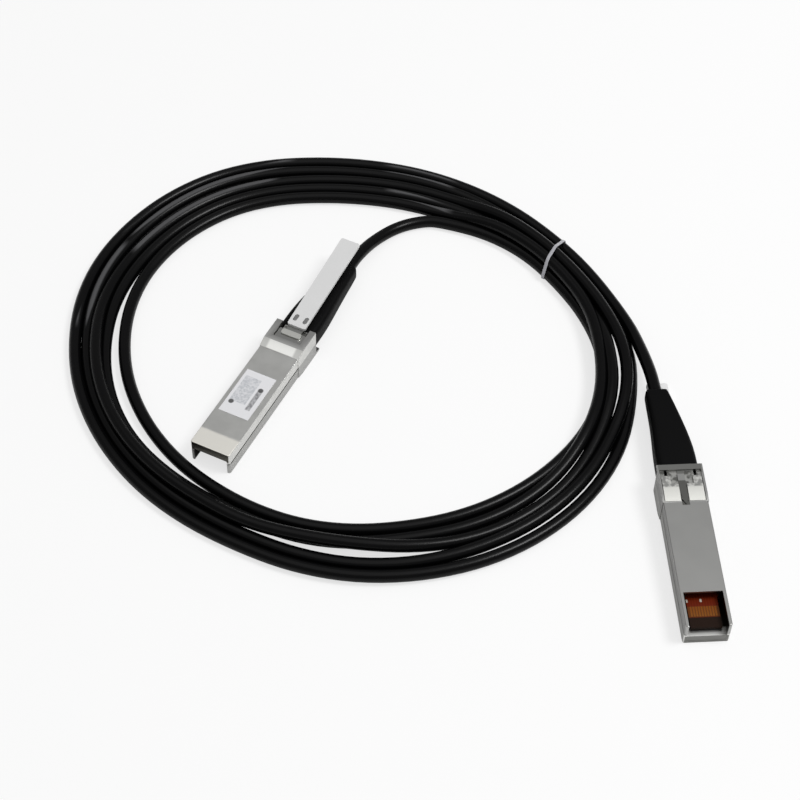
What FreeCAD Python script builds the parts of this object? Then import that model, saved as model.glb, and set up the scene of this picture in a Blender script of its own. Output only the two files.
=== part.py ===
"""Direct attach copper cable: two pluggable ends joined by a coiled twinax cable.

Both ends are the same product. Each is modelled once, in its own frame: X across, Y from the
front edge towards the cable, Z up from the latch face. A placement then lays it down: end a
rests on its latch face, end b on its label face. Sizes are in millimetres.
"""
import FreeCAD, Part
import math
import os
import re

import Sketcher

SIZES = {
    # die-cast housing
    "nose_width": 13.55,
    "nose_height": 8.5,
    "nose_length": 43.84,
    "slope_length": 3.0,
    "label_face_step": 1.14,
    "latch_face_step": 0.42,
    "rear_width": 13.9,
    "rear_length": 11.76,
    "lip_length": 2.0,
    "lip_height": 0.4,
    "split_height": 4.6,
    "side_wall": 1.0,
    "top_wall": 1.2,
    "floor_wall": 1.0,
    "ledge_width": 0.9,
    "window_length": 11.8,
    "cavity_reach": 3.16,
    "collar_length": 1.2,
    "corner_radius": 0.7,
    "edge_radius": 0.3,
    "seam_depth": 0.25,
    "seam_height": 0.55,
    "front_pad_length": 11.4,
    "front_pad_height": 0.12,
    # latch post
    "post_lead": 1.04,
    "post_point": 1.8,
    "post_length": 3.8,
    "post_width": 1.9,
    "post_height": 0.38,
    # latch slide, one folded sheet
    "sheet_thickness": 0.5,
    "slide_clearance": 0.2,
    "slide_travel": 2.0,
    "slide_proud": 0.36,
    "ramp_setback": 0.46,
    "ramp_length": 4.3,
    "ramp_edge": 0.1,
    "ramp_flat": 1.9,
    "ramp_inner": 1.25,
    "ramp_outer": 6.1,
    "arm_inner": 3.4,
    "leg_length": 4.4,
    "leg_outer": 4.7,
    "tongue_width": 5.2,
    "tongue_margin": 2.4,
    "bridge_width": 6.8,
    "bridge_length": 2.2,
    "bridge_height": 0.6,
    "bridge_corner": 0.8,
    "bridge_margin": 0.3,
    # return springs beside the slide's legs
    "spring_diameter": 1.3,
    "spring_bore": 0.7,
    "spring_turns": 3,
    "spring_wall": 0.5,
    "lug_reach": 1.55,
    "lug_height": 1.5,
    # pull tab and the two studs that hold it
    "tab_width": 6.4,
    "tab_end_width": 6.8,
    "tab_thickness": 0.9,
    "tab_gap": 1.8,
    "tab_length": 41.8,
    "tab_drift_a": -1.9,
    "tab_drift_b": 0.0,
    "stud_width": 1.3,
    "stud_length": 2.8,
    "stud_pitch": 3.5,
    "stud_setback": 3.4,
    "stud_flat": 0.1,
    # circuit card
    "card_front": 2.0,
    "card_gap": 7.0,
    "card_thickness": 1.0,
    "card_width": 11.3,
    "tongue_card_width": 9.2,
    "tongue_card_length": 10.2,
    "finger_count": 10,
    "finger_pitch": 0.8,
    "finger_width": 0.5,
    "finger_length": 4.2,
    "finger_setback": 0.6,
    "finger_thickness": 0.05,
    "chip_start": 20.0,
    "chip_width": 3.0,
    "chip_length": 4.4,
    "capacitor_start": 28.0,
    "capacitor_width": 0.5,
    "capacitor_length": 1.0,
    "capacitor_inner": 2.2,
    "capacitor_outer": 3.6,
    # cable, its cores and what grips it
    "cable_diameter": 4.0,
    "core_diameter": 0.95,
    "core_lap": 2.2,
    "core_spread": 1.1,
    "tip_diameter": 0.4,
    "tip_length": 1.8,
    "tip_drop": 0.2,
    "ferrule_length": 5.0,
    "ferrule_wall": 0.6,
    "fit_clearance": 0.05,
    # moulded boot
    "boot_length": 35.4,
    "boot_width": 12.6,
    "boot_height": 7.4,
    "boot_tip_width": 5.4,
    "boot_tip_height": 5.2,
    "boot_bend_a": 0.6,
    "boot_bend_b": 2.0,
    "bend_setback": 1.35,
    # label on end a
    "label_width": 10.3,
    "label_length": 18.4,
    "label_start": 15.0,
    "label_offset": -0.3,
    "label_thickness": 0.08,
    # where each end lies, from the middle of the two ends' box
    "end_a_across": -73.77,
    "end_a_along": -14.47,
    "end_a_yaw": 25.31,
    "end_b_across": 72.94,
    "end_b_along": -74.43,
    "end_b_yaw": -4.81,
    # coil
    "coil_across": -37.17,
    "coil_along": 34.45,
    "coil_height": 6.6,
    "coil_edge_ease": 1.3,
    # tie round the coil
    "tie_across": 33.83,
    "tie_along": 76.42,
    "tie_direction": 64.7,
    "tie_span": 19.0,
    "tie_breadth": 1.3,
    "tie_thickness": 0.5,
    "tie_clearance": 0.1,
}

# Stations along an end, measured from its front edge, that follow from the sizes above.
STATIONS = {
    "top_length": "nose_length + rear_length",
    "bottom_length": "top_length + lip_length",
    "cavity_length": "nose_length + cavity_reach",
    "ferrule_start": "cavity_length + collar_length",
    "card_end": "cavity_length - card_gap",
    "core_start": "card_end - core_lap",
    "post_start": "nose_length - post_lead",
    "ramp_start": "nose_length + ramp_setback",
    "leg_end": "top_length - slide_travel - slide_clearance",
    "leg_start": "leg_end - leg_length",
    "tab_start": "leg_end + tab_gap",
    "tab_end": "tab_start + tab_length",
    "stud_centre": "tab_start + stud_setback",
    "tongue_end": "stud_centre + tongue_margin",
    "boot_end": "top_length + boot_length",
}

# The boot's sections: share of its length, of its narrowing and of its flattening, corner radius
# and share of its bend.
BOOT_FORM = [(0, 0, 0, 1.4, 0), (0.3, 0, 0, 2.2, 0.04), (0.48, 0.1, 0.07, 2.5, 0.14),
             (0.66, 0.31, 0.23, 2.8, 0.35), (0.84, 0.6, 0.5, 2.9, 0.68), (1, 1, 1, 2.5, 1)]

# Edges of the coil seen from above: distance from its middle, every 20 degrees from +X.
COIL_INNER = [84.5, 77.5, 71.0, 66.0, 66.0, 69.5, 70.5, 69.7, 68.7,
              66.7, 65.2, 65.0, 66.5, 69.7, 72.5, 74.8, 80.0, 83.5]
COIL_OUTER = [94.5, 93.0, 89.0, 87.5, 87.0, 90.5, 92.0, 91.0, 89.0,
              86.0, 84.5, 83.3, 85.5, 89.0, 94.5, 100.0, 101.2, 98.0]

# How much of the shorter run beside a corner of a route the corner's arc takes.
ARC_SHARE = 0.45

# Routes of the two free stretches, from a boot's end to the coil.
LEAD_A = [(-31.1, 74.1, 4.9), (-26.3, 82.4, 3.0), (-18.5, 89.2, 2.05),
          (-8.5, 92.8, 2.05), (2.3, 91.4, 2.05), (10.5, 86.8, 2.05)]
LEAD_B = [(62.4, 23.2, 6.0), (60.7, 32.7, 4.0), (58.0, 43.7, 2.3),
          (53.8, 54.7, 2.05), (48.0, 64.7, 2.05)]

doc = FreeCAD.newDocument("direct_attach_cable")
sheet = doc.addObject("Spreadsheet::Sheet", "Sizes")
stations = {alias: "=" + text for alias, text in STATIONS.items()}
for row, (alias, value) in enumerate({**SIZES, **stations}.items(), start=1):
    sheet.set(f"A{row}", alias)
    sheet.set(f"B{row}", str(value))
    sheet.setAlias(f"B{row}", alias)
doc.recompute()


def size(alias):
    """A driving dimension, read from the sheet."""
    return float(sheet.get(alias))


def bound(text):
    """The same expression with each size named as the sheet's."""
    return re.sub(r"[a-z]\w*", lambda found: "Sizes." + found.group(0), str(text))


def number(text):
    """What an expression comes to."""
    return float(sheet.evalExpression(bound(text)))


def new_body(label):
    body = doc.addObject("PartDesign::Body", label)
    body.Label = label
    return body


def attached_sketch(body, name, role, lift):
    """A sketch on one of the body's own planes, lifted along the plane's normal."""
    sketch = body.newObject("Sketcher::SketchObject", name)
    plane = next(p for p in body.Origin.OriginFeatures if p.Role == role)
    sketch.AttachmentSupport = [(plane, "")]
    sketch.MapMode = "FlatFace"
    sketch.setExpression("AttachmentOffset.Base.z", bound(lift))
    return sketch


def pin_point(sketch, curve, end, across, up):
    """Ties one end of a sketch curve to two expressions."""
    for kind, text in (("DistanceX", across), ("DistanceY", up)):
        place = sketch.addConstraint(Sketcher.Constraint(kind, -1, 1, curve, end, number(text)))
        sketch.setExpression(f"Constraints[{place}]", bound(text))


def outline(body, name, role, loops, lift="0"):
    """A sketch of closed outlines, each corner a pair of expressions."""
    sketch = attached_sketch(body, name, role, lift)
    for corners in loops:
        points = [FreeCAD.Vector(number(x), number(y), 0) for x, y in corners]
        first = sketch.GeometryCount
        for index, point in enumerate(points):
            sketch.addGeometry(Part.LineSegment(point, points[(index + 1) % len(points)]), False)
        for index, (x, y) in enumerate(corners):
            curve = first + index
            following = first + (index + 1) % len(points)
            sketch.addConstraint(Sketcher.Constraint("Coincident", curve, 2, following, 1))
            pin_point(sketch, curve, 1, x, y)
    return sketch


def rounded_outline(body, name, role, middle, width, height, radius, lift="0"):
    """A sketch of one rounded rectangle: middle is a pair of expressions."""
    sketch = attached_sketch(body, name, role, lift)
    left, right = number(f"{middle[0]} - ({width}) / 2"), number(f"{middle[0]} + ({width}) / 2")
    low, high = number(f"{middle[1]} - ({height}) / 2"), number(f"{middle[1]} + ({height}) / 2")
    r = number(radius)
    corners = [(right - r, low + r, 270), (right - r, high - r, 0), (left + r, high - r, 90),
               (left + r, low + r, 180)]
    lines = [((left + r, low), (right - r, low)), ((right, low + r), (right, high - r)),
             ((right - r, high), (left + r, high)), ((left, high - r), (left, low + r))]
    for (start, end), (x, y, angle) in zip(lines, corners):
        sketch.addGeometry(Part.LineSegment(FreeCAD.Vector(*start, 0), FreeCAD.Vector(*end, 0)), False)
        circle = Part.Circle(FreeCAD.Vector(x, y, 0), FreeCAD.Vector(0, 0, 1), r)
        sketch.addGeometry(Part.ArcOfCircle(circle, math.radians(angle), math.radians(angle + 90)), False)
    for curve in range(8):
        sketch.addConstraint(Sketcher.Constraint("Tangent", curve, 2, (curve + 1) % 8, 1))
    for curve, kind in ((0, "Horizontal"), (2, "Vertical"), (4, "Horizontal"), (6, "Vertical")):
        sketch.addConstraint(Sketcher.Constraint(kind, curve))
    for curve in (1, 3, 5, 7):
        place = sketch.addConstraint(Sketcher.Constraint("Radius", curve, r))
        sketch.setExpression(f"Constraints[{place}]", bound(radius))
    edges = ((0, "DistanceY", f"{middle[1]} - ({height}) / 2"),
             (2, "DistanceX", f"{middle[0]} + ({width}) / 2"),
             (4, "DistanceY", f"{middle[1]} + ({height}) / 2"),
             (6, "DistanceX", f"{middle[0]} - ({width}) / 2"))
    for curve, kind, text in edges:
        place = sketch.addConstraint(Sketcher.Constraint(kind, -1, 1, curve, 1, number(text)))
        sketch.setExpression(f"Constraints[{place}]", bound(text))
    return sketch


def box_loop(x0, x1, y0, y1):
    return [(x0, y0), (x1, y0), (x1, y1), (x0, y1)]


def both_sides(x0, x1, y0, y1):
    """The same rectangle left and right of the middle."""
    return [box_loop(x0, x1, y0, y1), box_loop(f"-({x1})", f"-({x0})", y0, y1)]


def extrude(body, kind, name, sketch, length, reverse=False):
    feature = body.newObject("PartDesign::" + kind, name)
    feature.Profile = sketch
    feature.setExpression("Length", bound(length))
    feature.Reversed = reverse
    sketch.Visibility = False
    doc.recompute()
    return feature


def pad(body, name, sketch, length, reverse=False):
    return extrude(body, "Pad", name, sketch, length, reverse)


def cut(body, name, sketch, depth, reverse=False):
    """A pocket that must take something away."""
    before = body.Shape.Volume
    feature = extrude(body, "Pocket", name, sketch, depth, reverse)
    if body.Shape.Volume > before - 1e-4:
        raise RuntimeError(f"{body.Label}: {name} cuts nothing")
    return feature


def side_pad(body, name, corners, width):
    """A side profile, across the whole of a width."""
    sketch = outline(body, name + "_profile", "YZ_Plane", [corners], f"-({width}) / 2")
    return pad(body, name, sketch, width)


def round_edges(body, name, radius, chosen):
    """Rounds the edges of the tip that the test picks by their middle and direction."""
    tip = body.Tip
    names = []
    for index, edge in enumerate(tip.Shape.Edges, start=1):
        if isinstance(edge.Curve, Part.Line):
            if chosen(edge.CenterOfMass, edge.tangentAt(edge.FirstParameter)):
                names.append(f"Edge{index}")
    fillet = body.newObject("PartDesign::Fillet", name)
    fillet.Base = (tip, names)
    fillet.setExpression("Radius", bound(radius))
    doc.recompute()
    return fillet


def near(first, second):
    return abs(first - second) < 1e-3


AXIS_HEIGHT = "nose_height / 2"
SHEET_TOP = "sheet_thickness - slide_proud"
PLATE_LOW = "nose_height - slide_clearance"
PLATE_TOP = "nose_height - slide_clearance + sheet_thickness"
REAR_TOP = "nose_height + label_face_step"
CAVITY_HALF = "nose_width / 2 - side_wall"
SLOT_INNER = "leg_outer - sheet_thickness - slide_clearance"
SLOT_OUTER = "leg_outer + slide_clearance"
SLOT_START = "leg_start - slide_clearance"
CHAMBER_OUTER = "leg_outer + lug_reach + slide_clearance"
CHAMBER_LOW = "split_height - lug_height - slide_clearance"
FERRULE_RADIUS = "cable_diameter / 2 + ferrule_wall"


def bore(body, name, radius, start, length):
    """A round way along the cable's axis, through whichever shell it meets."""
    sketch = attached_sketch(body, name + "_circle", "XZ_Plane", f"-({start})")
    centre = FreeCAD.Vector(0, number(AXIS_HEIGHT), 0)
    circle = Part.Circle(centre, FreeCAD.Vector(0, 0, 1), number(radius))
    sketch.addGeometry(circle, False)
    sketch.addConstraint(Sketcher.Constraint("PointOnObject", 0, 3, -2))
    for kind, text in (("DistanceY", AXIS_HEIGHT), ("Radius", radius)):
        if kind == "Radius":
            place = sketch.addConstraint(Sketcher.Constraint(kind, 0, number(text)))
        else:
            place = sketch.addConstraint(Sketcher.Constraint(kind, -1, 1, 0, 3, number(text)))
        sketch.setExpression(f"Constraints[{place}]", bound(text))
    return cut(body, name, sketch, length)


def round_pad(body, name, radius, start, length, height=AXIS_HEIGHT, across="0"):
    """A cylinder along Y."""
    sketch = attached_sketch(body, name + "_circle", "XZ_Plane", f"-({start})")
    centre = FreeCAD.Vector(number(across), number(height), 0)
    sketch.addGeometry(Part.Circle(centre, FreeCAD.Vector(0, 0, 1), number(radius)), False)
    pin_point(sketch, 0, 3, across, height)
    place = sketch.addConstraint(Sketcher.Constraint("Radius", 0, number(radius)))
    sketch.setExpression(f"Constraints[{place}]", bound(radius))
    return pad(body, name, sketch, length, reverse=True)


def top_shell(end):
    """The half of the die casting with the label face."""
    body = new_body("top_shell_" + end)
    side_pad(body, "nose", [("0", "split_height"), ("0", "nose_height"),
                            ("nose_length", "nose_height"), ("nose_length", "split_height")],
             "nose_width")
    side_pad(body, "rear", [("nose_length", "split_height"), ("nose_length", "nose_height"),
                            ("nose_length + slope_length", REAR_TOP), ("top_length", REAR_TOP),
                            ("top_length", "split_height")], "rear_width")
    round_edges(body, "front_corners", "corner_radius",
                lambda p, d: near(p.y, 0) and abs(d.z) > 0.9)
    round_edges(body, "long_edges", "edge_radius",
                lambda p, d: abs(d.y) > 0.99 and near(p.z, size("nose_height"))
                and near(abs(p.x), size("nose_width") / 2))
    cavity = outline(body, "cavity_outline", "XY_Plane",
                     [box_loop(f"-({CAVITY_HALF})", CAVITY_HALF, "-1", "cavity_length")],
                     "split_height - 1")
    cut(body, "cavity", cavity, "nose_height - top_wall - split_height + 1", reverse=True)
    bore(body, "core_way", "cable_diameter / 2", "cavity_length - 1",
         "ferrule_start - cavity_length + 2")
    bore(body, "ferrule_pocket", f"{FERRULE_RADIUS} + fit_clearance", "ferrule_start",
         "top_length - ferrule_start + 1")
    recess = outline(body, "slide_recess_outline", "XY_Plane",
                     [box_loop(f"-({SLOT_OUTER})", SLOT_OUTER, SLOT_START, "top_length + 1")],
                     REAR_TOP)
    cut(body, "slide_recess", recess, f"{REAR_TOP} - ({PLATE_LOW}) + slide_clearance")
    slots = outline(body, "leg_slots_outline", "XY_Plane",
                    both_sides(SLOT_INNER, SLOT_OUTER, SLOT_START, "top_length + 1"),
                    "split_height - 1")
    cut(body, "leg_slots", slots, "nose_height", reverse=True)
    chambers = outline(body, "spring_chambers_outline", "XY_Plane",
                       both_sides("leg_outer", CHAMBER_OUTER, SLOT_START,
                                  "top_length - spring_wall"), "split_height - 1")
    cut(body, "spring_chambers", chambers, "1 + slide_clearance", reverse=True)
    step = outline(body, "front_pad_outline", "XY_Plane",
                   [box_loop("-nose_width", "nose_width", "front_pad_length", "nose_length")],
                   "nose_height")
    cut(body, "label_face_recess", step, "front_pad_height")
    return body


def bottom_shell(end):
    """The half of the die casting with the latch post and the open window."""
    body = new_body("bottom_shell_" + end)
    side_pad(body, "nose", [("0", "0"), ("0", "split_height"), ("nose_length", "split_height"),
                            ("nose_length", "0")], "nose_width")
    side_pad(body, "rear", [("nose_length", "0"), ("nose_length", "split_height"),
                            ("top_length", "split_height"), ("top_length", "lip_height"),
                            ("bottom_length", "lip_height"), ("bottom_length", "-latch_face_step"),
                            ("nose_length + slope_length", "-latch_face_step")], "rear_width")
    round_edges(body, "front_corners", "corner_radius",
                lambda p, d: near(p.y, 0) and abs(d.z) > 0.9)
    round_edges(body, "long_edges", "edge_radius",
                lambda p, d: abs(d.y) > 0.99 and near(p.z, 0)
                and near(abs(p.x), size("nose_width") / 2))
    window = outline(body, "window_outline", "XY_Plane",
                     [box_loop(f"-({CAVITY_HALF})", CAVITY_HALF, "-1", "window_length")], "-1")
    cut(body, "window", window, "split_height + 2", reverse=True)
    below = outline(body, "wire_space_outline", "XY_Plane",
                    [box_loop(f"-({CAVITY_HALF} - ledge_width)", f"{CAVITY_HALF} - ledge_width",
                              "window_length - 1", "cavity_length")], "floor_wall")
    cut(body, "wire_space", below, "split_height", reverse=True)
    above = outline(body, "card_seat_outline", "XY_Plane",
                    [box_loop(f"-({CAVITY_HALF})", CAVITY_HALF, "window_length - 1",
                              "cavity_length")], f"{AXIS_HEIGHT} - card_thickness / 2")
    cut(body, "card_seat", above, "split_height", reverse=True)
    bore(body, "core_way", "cable_diameter / 2", "cavity_length - 1",
         "ferrule_start - cavity_length + 2")
    bore(body, "ferrule_pocket", f"{FERRULE_RADIUS} + fit_clearance", "ferrule_start",
         "top_length - ferrule_start + 1")
    rib = "post_width / 2 + slide_clearance"
    middle = outline(body, "post_gap_outline", "XY_Plane",
                     [box_loop(f"-({rib})", rib, "nose_length", "top_length")],
                     "-latch_face_step - 1")
    cut(body, "post_gap", middle, "latch_face_step + 1", reverse=True)
    arms = outline(body, "arm_pockets_outline", "XY_Plane",
                   both_sides(f"{rib} - slide_clearance / 2", "ramp_outer + slide_clearance",
                              "ramp_start - slide_clearance", "top_length"),
                   "-latch_face_step - 1")
    cut(body, "arm_pockets", arms, f"latch_face_step + 1 + {SHEET_TOP} + slide_clearance",
        reverse=True)
    slots = outline(body, "leg_slots_outline", "XY_Plane",
                    both_sides(SLOT_INNER, SLOT_OUTER, SLOT_START, "top_length"),
                    "-latch_face_step - 1")
    cut(body, "leg_slots", slots, "nose_height", reverse=True)
    chambers = outline(body, "spring_chambers_outline", "XY_Plane",
                       both_sides("leg_outer", CHAMBER_OUTER, SLOT_START,
                                  "top_length - spring_wall"), CHAMBER_LOW)
    cut(body, "spring_chambers", chambers, "nose_height", reverse=True)
    seam = outline(body, "seam_outline", "XY_Plane",
                   both_sides("nose_width / 2 - seam_depth", "nose_width", "corner_radius",
                              "nose_length"), "split_height - seam_height")
    cut(body, "seam", seam, "nose_height", reverse=True)
    shoulder, end_of_post = "post_start + post_point", "post_start + post_length"
    post = outline(body, "post_outline", "XY_Plane",
                   [[("0", "post_start"), ("post_width / 2", shoulder),
                     ("post_width / 2", end_of_post), ("-post_width / 2", end_of_post),
                     ("-post_width / 2", shoulder)]], "-post_height")
    pad(body, "latch_post", post, "post_height + floor_wall / 2")
    return body


def latch_slide(end):
    """The folded steel slide: ramps and arms on the latch face, legs, and the tab's tongue."""
    body = new_body("latch_slide_" + end)
    tongue = outline(body, "plate_outline", "XY_Plane",
                     [[("-leg_outer", "leg_start"), ("leg_outer", "leg_start"),
                       ("leg_outer", "leg_end"), ("tongue_width / 2", "leg_end"),
                       ("tongue_width / 2", "tongue_end"), ("-tongue_width / 2", "tongue_end"),
                       ("-tongue_width / 2", "leg_end"), ("-leg_outer", "leg_end")]], PLATE_LOW)
    pad(body, "plate", tongue, "sheet_thickness")
    legs = outline(body, "legs_outline", "XY_Plane",
                   both_sides("leg_outer - sheet_thickness", "leg_outer", "leg_start", "leg_end"),
                   "-slide_proud")
    pad(body, "legs", legs, f"slide_proud + {PLATE_TOP}")
    lugs = outline(body, "lugs_outline", "XY_Plane",
                   both_sides("leg_outer - sheet_thickness", "leg_outer + lug_reach", "leg_start",
                              "leg_start + sheet_thickness"), "split_height - lug_height")
    pad(body, "lugs", lugs, "lug_height")
    arms = outline(body, "arms_outline", "XY_Plane",
                   both_sides("arm_inner", "ramp_outer", "ramp_start + ramp_length", "leg_end"),
                   "-slide_proud")
    pad(body, "arms", arms, "sheet_thickness")
    feet = outline(body, "feet_outline", "XY_Plane",
                   both_sides("ramp_inner", "ramp_outer", "ramp_start + ramp_length",
                              "ramp_start + ramp_length + ramp_flat"), "-slide_proud")
    pad(body, "feet", feet, "sheet_thickness")
    for side, lift in (("left", "-ramp_outer"), ("right", "ramp_inner")):
        ramp = outline(body, f"{side}_ramp_outline", "YZ_Plane",
                       [[("ramp_start", f"{SHEET_TOP} - ramp_edge"), ("ramp_start", SHEET_TOP),
                         ("ramp_start + ramp_length", SHEET_TOP),
                         ("ramp_start + ramp_length", "-slide_proud")]], lift)
        pad(body, f"{side}_ramp", ramp, "ramp_outer - ramp_inner")
    bridge = rounded_outline(body, "bridge_outline", "XY_Plane",
                             ("0", "leg_end - bridge_margin - bridge_length / 2"),
                             "bridge_width", "bridge_length", "bridge_corner", PLATE_TOP)
    pad(body, "bridge", bridge, "bridge_height")
    return body


def pull_tab(end):
    """The clear moulded strap that draws the slide back."""
    drift = "tab_drift_" + end
    body = new_body("pull_tab_" + end)
    strap = outline(body, "strap_outline", "XY_Plane",
                    [[("-tab_width / 2", "tab_start"), ("tab_width / 2", "tab_start"),
                      (f"{drift} + tab_end_width / 2", "tab_end"),
                      (f"{drift} - tab_end_width / 2", "tab_end")]], PLATE_TOP)
    pad(body, "strap", strap, "tab_thickness")
    round_edges(body, "tab_corners", "corner_radius",
                lambda p, d: abs(d.z) > 0.9)
    for side in ("-", ""):
        hole = rounded_outline(body, f"stud_hole{len(side)}_outline", "XY_Plane",
                               (f"{side}stud_pitch / 2", "stud_centre"),
                               "stud_width + 2 * fit_clearance", "stud_length + 2 * fit_clearance",
                               "stud_width / 2 - stud_flat + fit_clearance", PLATE_TOP)
        cut(body, f"stud_hole{len(side)}", hole, "2 * tab_thickness", reverse=True)
    return body


def tab_studs(end):
    """Two oblong studs on the tongue, through the tab."""
    body = new_body("tab_studs_" + end)
    body.AllowCompound = True
    for side in ("-", ""):
        stud = rounded_outline(body, f"stud{len(side)}_outline", "XY_Plane",
                               (f"{side}stud_pitch / 2", "stud_centre"), "stud_width",
                               "stud_length", "stud_width / 2 - stud_flat", PLATE_TOP)
        pad(body, f"stud{len(side)}", stud, "tab_thickness - 2 * fit_clearance")
    return body


def paddle_card(end):
    """The circuit card, with its narrow tongue in the mouth."""
    body = new_body("paddle_card_" + end)
    joint = "card_front + tongue_card_length"
    card = outline(body, "card_outline", "XY_Plane",
                   [[("-tongue_card_width / 2", "card_front"), ("tongue_card_width / 2", "card_front"),
                     ("tongue_card_width / 2", joint), ("card_width / 2", joint),
                     ("card_width / 2", "card_end"), ("-card_width / 2", "card_end"),
                     ("-card_width / 2", joint), ("-tongue_card_width / 2", joint)]],
                   f"{AXIS_HEIGHT} - card_thickness / 2")
    pad(body, "card", card, "card_thickness")
    return body


def contact_fingers(end):
    """A row of gold fingers on each face of the card's tongue."""
    body = new_body("contact_fingers_" + end)
    body.AllowCompound = True
    count = int(size("finger_count"))
    rows = []
    for index in range(count):
        middle = f"({index} - (finger_count - 1) / 2) * finger_pitch"
        rows.append(box_loop(f"{middle} - finger_width / 2", f"{middle} + finger_width / 2",
                             "card_front + finger_setback",
                             "card_front + finger_setback + finger_length"))
    for face, lift in (("upper", f"{AXIS_HEIGHT} + card_thickness / 2"),
                       ("lower", f"{AXIS_HEIGHT} - card_thickness / 2 - finger_thickness")):
        sketch = outline(body, f"{face}_row_outline", "XY_Plane", rows, lift)
        pad(body, f"{face}_row", sketch, "finger_thickness")
    return body


def card_components(end):
    """The memory chip and the small capacitors on the card."""
    body = new_body("card_components_" + end)
    body.AllowCompound = True
    surface = f"{AXIS_HEIGHT} + card_thickness / 2"
    chip = outline(body, "chip_outline", "XY_Plane",
                   [box_loop("-chip_width / 2", "chip_width / 2", "chip_start",
                             "chip_start + chip_length")], surface)
    pad(body, "chip", chip, "card_thickness")
    loops = []
    for place in ("capacitor_inner", "capacitor_outer"):
        loops += both_sides(f"{place} - capacitor_width / 2", f"{place} + capacitor_width / 2",
                            "capacitor_start", "capacitor_start + capacitor_length")
    small = outline(body, "capacitor_outlines", "XY_Plane", loops, surface)
    pad(body, "capacitors", small, "card_thickness / 2")
    return body


def core_pair(label, end, side):
    """Two insulated cores with their bare tips, lying on one face of the card."""
    body = new_body(f"{label}_{end}")
    body.AllowCompound = True
    face = f"{AXIS_HEIGHT} {side} card_thickness / 2"
    for index, across in enumerate(("-core_spread / 2", "core_spread / 2")):
        round_pad(body, f"core{index}", "core_diameter / 2", "core_start",
                  "ferrule_start - core_start", f"{face} {side} core_diameter / 2", across)
        round_pad(body, f"tip{index}", "tip_diameter / 2", "core_start - tip_length", "tip_length",
                  f"{face} {side} (core_diameter / 2 - tip_drop)", across)
    return body


def crimp_ferrule(end):
    """The tube crimped over the cable's braid."""
    body = new_body("crimp_ferrule_" + end)
    round_pad(body, "tube", FERRULE_RADIUS, "ferrule_start", "ferrule_length")
    bore(body, "tube_bore", "cable_diameter / 2 + fit_clearance", "ferrule_start - 1",
         "ferrule_length + 2")
    return body


def run_path(points):
    """Straight runs joined by tangent arcs, with the arcs' radii."""
    edges, radii = [], []
    start = points[0]
    for before, corner, after in zip(points, points[1:], points[2:]):
        into, out = corner - before, after - corner
        turn = into.getAngle(out)
        reach = ARC_SHARE * min(into.Length, out.Length)
        radii.append(reach / math.tan(turn / 2))
        into.normalize()
        out.normalize()
        near_end, far_end = corner - into * reach, corner + out * reach
        inwards = (near_end + far_end) / 2 - corner
        inwards.normalize()
        middle = corner + inwards * (radii[-1] / math.cos(turn / 2) - radii[-1])
        edges.append(Part.makeLine(start, near_end))
        edges.append(Part.Arc(near_end, middle, far_end).toShape())
        start = far_end
    edges.append(Part.makeLine(start, points[-1]))
    return Part.Wire(edges), radii


def tube_along(points, radius):
    """A round tube along a path, with the path and its radii."""
    path, radii = run_path(points)
    section = Part.Wire(Part.makeCircle(radius, points[0], points[1] - points[0]))
    return path.makePipeShell([section], True, False), path, radii


def inner_route(end, beyond=0):
    """Where the cable runs from the ferrule's front to the boot's tip, in the end's own frame."""
    height = number(AXIS_HEIGHT)
    start = FreeCAD.Vector(0, size("ferrule_start") + size("fit_clearance"), height)
    corner = FreeCAD.Vector(0, size("top_length") + size("bend_setback"), height)
    tip = FreeCAD.Vector(size("boot_bend_" + end), size("boot_end"), height)
    out = tip - corner
    out.normalize()
    return [start, corner, tip + out * beyond]


def cable_tail(end):
    """The jacketed cable inside the ferrule and the boot."""
    tail = doc.addObject("Part::Feature", "cable_tail_" + end)
    tail.Label = "cable_tail_" + end
    tail.Shape = tube_along(inner_route(end), size("cable_diameter") / 2)[0]
    return tail


def boot(end):
    """The moulded strain relief, which tapers and bends a little with the cable."""
    body = new_body("boot_form_" + end)
    bend = "boot_bend_" + end
    sections = []
    for index, (share, narrowing, flattening, radius, lean) in enumerate(BOOT_FORM):
        width = f"boot_width - {narrowing} * (boot_width - boot_tip_width)"
        height = f"boot_height - {flattening} * (boot_height - boot_tip_height)"
        sections.append(rounded_outline(body, f"section{index}", "XZ_Plane",
                                        (f"{lean} * {bend}", AXIS_HEIGHT), width, height,
                                        str(radius), f"-(top_length + {share} * boot_length)"))
    loft = body.newObject("PartDesign::AdditiveLoft", "sleeve")
    loft.Profile = sections[0]
    loft.Sections = sections[1:]
    loft.Ruled = True
    doc.recompute()
    hole = doc.addObject("Part::Feature", "boot_bore_" + end)
    hole.Shape = tube_along(inner_route(end, beyond=2),
                            size("cable_diameter") / 2 + size("fit_clearance"))[0]
    sleeve = doc.addObject("Part::Cut", "boot_" + end)
    sleeve.Label = "boot_" + end
    sleeve.Base = body
    sleeve.Tool = hole
    return sleeve


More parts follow.
